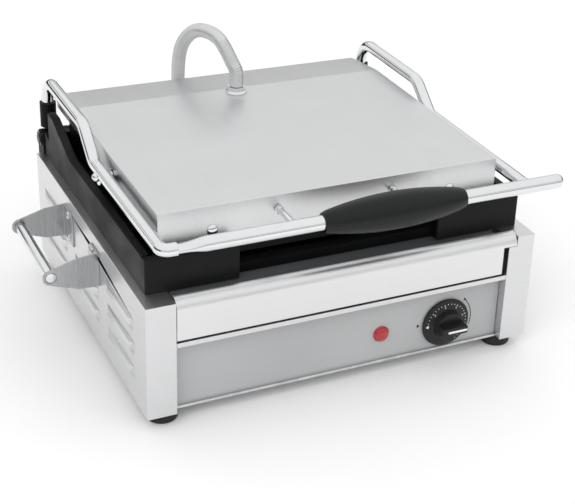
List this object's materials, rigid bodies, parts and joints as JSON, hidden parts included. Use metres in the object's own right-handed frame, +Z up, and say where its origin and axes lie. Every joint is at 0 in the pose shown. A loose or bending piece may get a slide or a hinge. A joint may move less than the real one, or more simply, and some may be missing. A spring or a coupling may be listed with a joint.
{
  "type": "panini press",
  "caption": "Countertop contact grill with a ribbed cast-iron lower plate and a lidded upper plate that swings up on sprung arms and levels itself.",
  "frame": {"origin": "on the table, under the middle of the whole grill in width and depth", "axes": "+X to the right seen from the front, +Y to the back, +Z up"},
  "size_m": [0.572, 0.455, 0.2904],
  "materials": {
    "satin_steel": "satin",
    "lid_steel": "fine brushed satin",
    "brushed_steel": "brushed",
    "tray_steel": "satin",
    "panel_grey": "matte light grey",
    "cast_iron": "matte black seasoned",
    "dark_enamel": "satin dark grey",
    "element_sheath": "heat darkened",
    "mineral_wool": "fibrous",
    "galvanised": "spangled zinc",
    "zinc": "bright zinc plate",
    "thermostat_case": "brown moulded",
    "copper": "drawn copper",
    "red_lens": "clear red",
    "black_plastic": "satin black",
    "white_plastic": "satin white",
    "ceramic": "glazed ceramic",
    "foot_rubber": "matte black",
    "chrome": "polished",
    "conduit_steel": "satin spiral wound",
    "spring_steel": "blackened and oiled",
    "grip_plastic": "fine satin charcoal"
  },
  "bodies": {
    "root": {"base_pan": "galvanised", "side_panel_left": "satin_steel", "side_panel_right": "satin_steel", "back_panel": "satin_steel", "control_panel": "panel_grey", "lower_plate": "cast_iron", "grease_chute": "dark_enamel", "lower_element": "element_sheath", "lower_insulation": "mineral_wool", "heat_shield": "galvanised", "plate_bolts": "zinc", "tray_runners": "galvanised", "thermostat_body": "thermostat_case", "thermostat_bulb": "copper", "pilot_lamp_lens": "red_lens", "pilot_lamp_body": "black_plastic", "terminal_block": "ceramic", "cable_gland": "black_plastic", "rubber_feet": "foot_rubber", "foot_screws": "zinc", "left_bracket_front": "brushed_steel", "left_bracket_rear": "brushed_steel", "left_carry_rod": "chrome", "right_bracket_front": "brushed_steel", "right_bracket_rear": "brushed_steel", "right_carry_rod": "chrome", "bracket_screws": "zinc", "hinge_block_left": "cast_iron", "hinge_block_right": "cast_iron", "hinge_bolts": "zinc", "spring_left": "spring_steel", "spring_right": "spring_steel", "conduit_elbow": "chrome", "conduit": "conduit_steel", "back_screws": "zinc"},
    "arms": {"arm_left": "chrome", "arm_right": "chrome", "handle_bar": "chrome", "handle_grip": "grip_plastic", "stop_pegs": "chrome", "pivot_bolts": "chrome", "hinge_shaft": "spring_steel", "shaft_rings": "spring_steel", "knuckle_left": "cast_iron", "knuckle_right": "cast_iron"},
    "upper": {"upper_plate": "cast_iron", "lid_cover": "lid_steel", "upper_element": "element_sheath", "upper_insulation": "mineral_wool", "cover_screws": "chrome", "lid_gland": "chrome"},
    "dial": {"knob": "black_plastic", "knob_insert": "white_plastic", "thermostat_shaft": "zinc"},
    "tray": {"drip_tray": "tray_steel"}
  },
  "joints": [
    {"name": "arm_hinge", "type": "hinge", "parent": "root", "child": "arms", "pos_m": [0, 0.1945, 0.16], "axis": [-1, 0, 0], "range_deg": [0, 75], "deforming": ["conduit"]},
    {"name": "plate_level", "type": "hinge", "parent": "arms", "child": "upper", "pos_m": [0, -0.0175, 0.201], "axis": [1, 0, 0], "range_deg": [-2, 2], "deforming": ["conduit"]},
    {"name": "thermostat_turn", "type": "hinge", "parent": "root", "child": "dial", "pos_m": [0.125, -0.1955, 0.047], "axis": [0, 1, 0], "range_deg": [0, 280]},
    {"name": "tray_slide", "type": "slide", "parent": "root", "child": "tray", "axis": [0, -1, 0], "range_m": [0, 0.062]}
  ]
}
